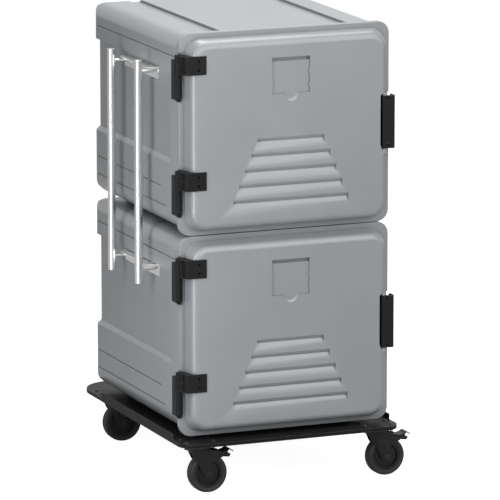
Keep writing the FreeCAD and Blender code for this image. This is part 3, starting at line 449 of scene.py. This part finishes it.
# Painted shade: the screws in the wells of the hinge leaves get a darker, duller copy of the coated
# steel.
painted_shade_black = black_steel("painted_shade_black", (0.001, 0.001, 0.001), (0.002, 0.002, 0.002), 0.05)
print("rubber and metal finishes made")

# %% [markdown]
# ## Dress the measured parts
#
# The measured parts come as plain triangles. Welding joins their seams, and weighted normals make
# the roundings smooth while flat faces stay flat. Edges sharper than the angle below stay crisp.
# The shapes themselves aren't changed: these are modifiers on top.

# %% Smooth shading and finishes for every measured part
CRISP_ANGLE = math.radians(32.0)
SEAM_GAP = 0.00002
BIG_FACE_WEIGHT = 80

# The first word that a part's name contains says its finish; all other parts are casing grey.
FINISH_WORDS = (
    ("leaf_screws", painted_shade_black), ("bracket_screws", fitting_black), ("foam", foam_cream),
    ("seal", seal_black), ("liner", liner_grey), ("pins", coated), ("latch_pin", coated),
    ("handle_bolts", stainless_sheet), ("bolts", coated), ("axle", coated),
    ("hinge", fitting_black), ("latch", fitting_black), ("deck", deck_black), ("tyre", rubber),
    ("castor", castor_black), ("pedal", castor_black), ("push_bar", stainless_upright),
    ("handle_bracket", stainless_sheet),
)


def smooth_part(piece):
    """Weld the seams, mark crisp edges by their angle, and weight the normals by face size."""
    weld = piece.modifiers.new("join_seams", "WELD")
    weld.merge_threshold = SEAM_GAP
    split = piece.modifiers.new("crisp_edges", "EDGE_SPLIT")
    split.split_angle = CRISP_ANGLE
    split.use_edge_sharp = False
    weighted = piece.modifiers.new("even_normals", "WEIGHTED_NORMAL")
    weighted.keep_sharp = True
    weighted.weight = BIG_FACE_WEIGHT
    for polygon in piece.data.polygons:
        polygon.use_smooth = True


def finish_for(name):
    """The finish of a measured part, by what its name says it is."""
    for word, finish in FINISH_WORDS:
        if word in name:
            return finish
    return casing_grey


for name, piece in nodes.items():
    smooth_part(piece)
    piece.data.materials.clear()
    piece.data.materials.append(finish_for(name))
print("dressed", len(nodes), "parts")

# %% [markdown]
# ## Small mouldings of the card recess
#
# Two things in the card recess are finer than the measured door. Two small snap nubs on each side
# keep a menu card in, and the finger scoop below has a flat floor, so that only its rim catches
# the light, as a bright crescent. Each is a small closed mesh that rides on its door: a nub is a
# half lens drawn as an arc and given a thickness, and the floor is a lens that fills the bottom of
# the scoop. The places below repeat the door's own: heights count up from the door's foot.

# %% Helpers for small mouldings
DOOR_FOOT = {"lower": 168.0 * MM, "upper": 810.0 * MM}
PLATEAU_Y = -453.0 * MM
RIM_SEGMENTS = 3


def closed_piece(name, bm, finish, body):
    """Turn a bmesh into a named piece that rides on a body."""
    bmesh.ops.recalc_face_normals(bm, faces=bm.faces)
    mesh = bpy.data.meshes.new(name)
    bm.to_mesh(mesh)
    bm.free()
    piece = bpy.data.objects.new(name, mesh)
    bpy.context.scene.collection.objects.link(piece)
    mesh.materials.append(finish)
    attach(piece, body)
    return piece


def rounded_edges(piece, width):
    """Soften the rims of a small piece."""
    bevel = piece.modifiers.new("soft_rims", "BEVEL")
    bevel.width = width
    bevel.segments = RIM_SEGMENTS
    bevel.limit_method = "ANGLE"
    for polygon in piece.data.polygons:
        polygon.use_smooth = True
    even = piece.modifiers.new("even_normals", "WEIGHTED_NORMAL")
    even.keep_sharp = True


print("door plateau at", PLATEAU_Y, "m")

# %% Snap nubs
CARD_HALF = 64.0 * MM
NUB_HEIGHTS = (516.0 * MM, 476.0 * MM)
NUB_CHORD = 20.0 * MM
NUB_OUT = 4.5 * MM
NUB_THICK = 1.6 * MM
NUB_INSET = 0.1 * MM
NUB_ROUNDING = 0.5 * MM
NUB_STEPS = 14


def snap_nubs(container):
    """Four half lenses on the side walls of the card recess, flush with the door's face."""
    bm = bmesh.new()
    bow = (NUB_CHORD ** 2 / 4 + NUB_OUT ** 2) / (2 * NUB_OUT)
    reach = math.asin(NUB_CHORD / 2 / bow)
    for hand in (-1.0, 1.0):
        for height in NUB_HEIGHTS:
            rim = []
            for step in range(NUB_STEPS + 1):
                turn = reach * (2.0 * step / NUB_STEPS - 1.0)
                out = bow * math.cos(turn) - (bow - NUB_OUT)
                up = DOOR_FOOT[container] + height + bow * math.sin(turn)
                rim.append((hand * (CARD_HALF - out), up))
            front = [bm.verts.new((x, PLATEAU_Y + NUB_INSET, z)) for x, z in rim]
            back = [bm.verts.new((x, PLATEAU_Y + NUB_INSET + NUB_THICK, z)) for x, z in rim]
            bm.faces.new(front)
            bm.faces.new(back)
            for step in range(len(rim)):
                after = (step + 1) % len(rim)
                bm.faces.new((front[step], front[after], back[after], back[step]))
    piece = closed_piece(container + "_card_nubs", bm, casing_grey,
                         container + "_door")
    rounded_edges(piece, NUB_ROUNDING)


# %% The flat floor of the finger scoop
CARD_FOOT = 450.0 * MM
SCOOP_BALL = 40.0 * MM
SCOOP_DEEP = 8.0 * MM
FLOOR_DEEP = 3.97 * MM
SCOOP_RINGS = 6
SCOOP_STEPS = 40
UNDER_SCOOP = 0.25 * MM
PAST_RIM = 0.15 * MM
RIM_TAPER = 0.995


def scoop_floor(container):
    """A flat floor in the round scoop, down to just under the scoop's own surface."""
    bm = bmesh.new()
    floor_rise = SCOOP_BALL - SCOOP_DEEP + FLOOR_DEEP
    reach = math.sqrt(SCOOP_BALL ** 2 - floor_rise ** 2) + PAST_RIM
    layers = []
    for ring in range(1, SCOOP_RINGS + 1):
        radius = reach * ring / SCOOP_RINGS
        deep = SCOOP_DEEP - SCOOP_BALL + math.sqrt(SCOOP_BALL ** 2 - radius ** 2) + UNDER_SCOOP
        layers.append((radius, PLATEAU_Y + deep))
    layers.append((reach * RIM_TAPER, PLATEAU_Y + FLOOR_DEEP))
    middle_z = DOOR_FOOT[container] + CARD_FOOT
    turns = [math.tau * step / SCOOP_STEPS for step in range(SCOOP_STEPS)]
    loops = [[bm.verts.new((radius * math.cos(turn), y, middle_z + radius * math.sin(turn)))
              for turn in turns] for radius, y in layers]
    pole = bm.verts.new((0.0, PLATEAU_Y + SCOOP_DEEP + UNDER_SCOOP, middle_z))
    for step in range(SCOOP_STEPS):
        after = (step + 1) % SCOOP_STEPS
        bm.faces.new((pole, loops[0][step], loops[0][after]))
        for inner, outer in zip(loops, loops[1:]):
            bm.faces.new((inner[step], outer[step], outer[after], inner[after]))
    bm.faces.new(loops[-1])
    closed_piece(container + "_scoop_floor", bm, casing_grey,
                 container + "_door")


for container in CONTAINERS:
    snap_nubs(container)
    scoop_floor(container)
print("card recess mouldings made for", len(CONTAINERS), "doors")

# %% [markdown]
# ## Bosses of the edge latches
#
# The latch lever turns between two bosses that are moulded with the door: they show grey above and
# below the black lever. A black knuckle round each end of the pin closes the gap beside the lever.
# Its front corner is an arc about the pin, because the lever swings round that corner. Both are
# drawn as outlines in plan and given a height, so they stay true closed solids.

# %% Helpers for the latch, in plan
PIN_PLACE = (321.0 * MM, -447.0 * MM)
NOTCH_BACK = -418.0 * MM
NOTCH_HEIGHTS = (237.0 * MM, 428.5 * MM)
LEVER_HEIGHTS = (253.0 * MM, 421.0 * MM)
ARC_STEPS = 12


def plan_column(bm, outline, low, high):
    """A closed column over an outline in plan."""
    foot = [bm.verts.new((x, y, low)) for x, y in outline]
    head = [bm.verts.new((x, y, high)) for x, y in outline]
    bm.faces.new(foot)
    bm.faces.new(head)
    for step in range(len(outline)):
        after = (step + 1) % len(outline)
        bm.faces.new((foot[step], foot[after], head[after], head[step]))


def pin_arc(radius, start_deg, end_deg):
    """Places in plan on an arc about the latch pin."""
    places = []
    for step in range(ARC_STEPS + 1):
        turn = math.radians(start_deg + (end_deg - start_deg) * step / ARC_STEPS)
        places.append((PIN_PLACE[0] + radius * math.cos(turn), PIN_PLACE[1] + radius * math.sin(turn)))
    return places


print("latch pins at x", PIN_PLACE[0], "y", PIN_PLACE[1])

# %% Latch bosses
BOSS_R = 7.0 * MM
BOSS_ROOT = 1.0 * MM
BOSS_ROUNDING = 0.8 * MM
LEVER_GAP = 0.5 * MM


def latch_bosses(container):
    """Two grey bosses that hold the ends of the latch pin."""
    bm = bmesh.new()
    outline = pin_arc(BOSS_R, -180.0, 0.0)
    outline += [(PIN_PLACE[0] + BOSS_R, NOTCH_BACK), (PIN_PLACE[0] - BOSS_R, NOTCH_BACK)]
    foot = DOOR_FOOT[container]
    plan_column(bm, outline, foot + NOTCH_HEIGHTS[0] - BOSS_ROOT, foot + LEVER_HEIGHTS[0] - LEVER_GAP)
    plan_column(bm, outline, foot + LEVER_HEIGHTS[1] + LEVER_GAP, foot + NOTCH_HEIGHTS[1] + BOSS_ROOT)
    piece = closed_piece(container + "_latch_bosses", bm, casing_grey,
                         container + "_door")
    rounded_edges(piece, BOSS_ROUNDING)


# %% Latch knuckles
KNUCKLE_H = 12.0 * MM
KNUCKLE_FRONT = 8.5 * MM
KNUCKLE_INNER = 9.0 * MM
KNUCKLE_BACK_GAP = 1.0 * MM
KNUCKLE_ROUNDING = 0.6 * MM
SWING_R = 12.0 * MM


def latch_knuckles(container):
    """Black knuckles beside the ends of the lever, inside the circle that its corner sweeps."""
    bm = bmesh.new()
    corner_deg = math.degrees(math.asin(-KNUCKLE_FRONT / SWING_R))
    inner_x = PIN_PLACE[0] - KNUCKLE_INNER
    back_y = NOTCH_BACK - KNUCKLE_BACK_GAP
    outline = [(inner_x, back_y), (inner_x, PIN_PLACE[1] - KNUCKLE_FRONT)]
    outline += pin_arc(SWING_R, corner_deg, 0.0)
    outline += [(PIN_PLACE[0] + SWING_R, back_y)]
    foot = DOOR_FOOT[container]
    plan_column(bm, outline, foot + LEVER_HEIGHTS[0], foot + LEVER_HEIGHTS[0] + KNUCKLE_H)
    plan_column(bm, outline, foot + LEVER_HEIGHTS[1] - KNUCKLE_H, foot + LEVER_HEIGHTS[1])
    piece = closed_piece(container + "_latch_knuckles", bm, fitting_black,
                         container + "_door")
    rounded_edges(piece, KNUCKLE_ROUNDING)


for container in CONTAINERS:
    latch_bosses(container)
    latch_knuckles(container)
print("latch bosses and knuckles made")
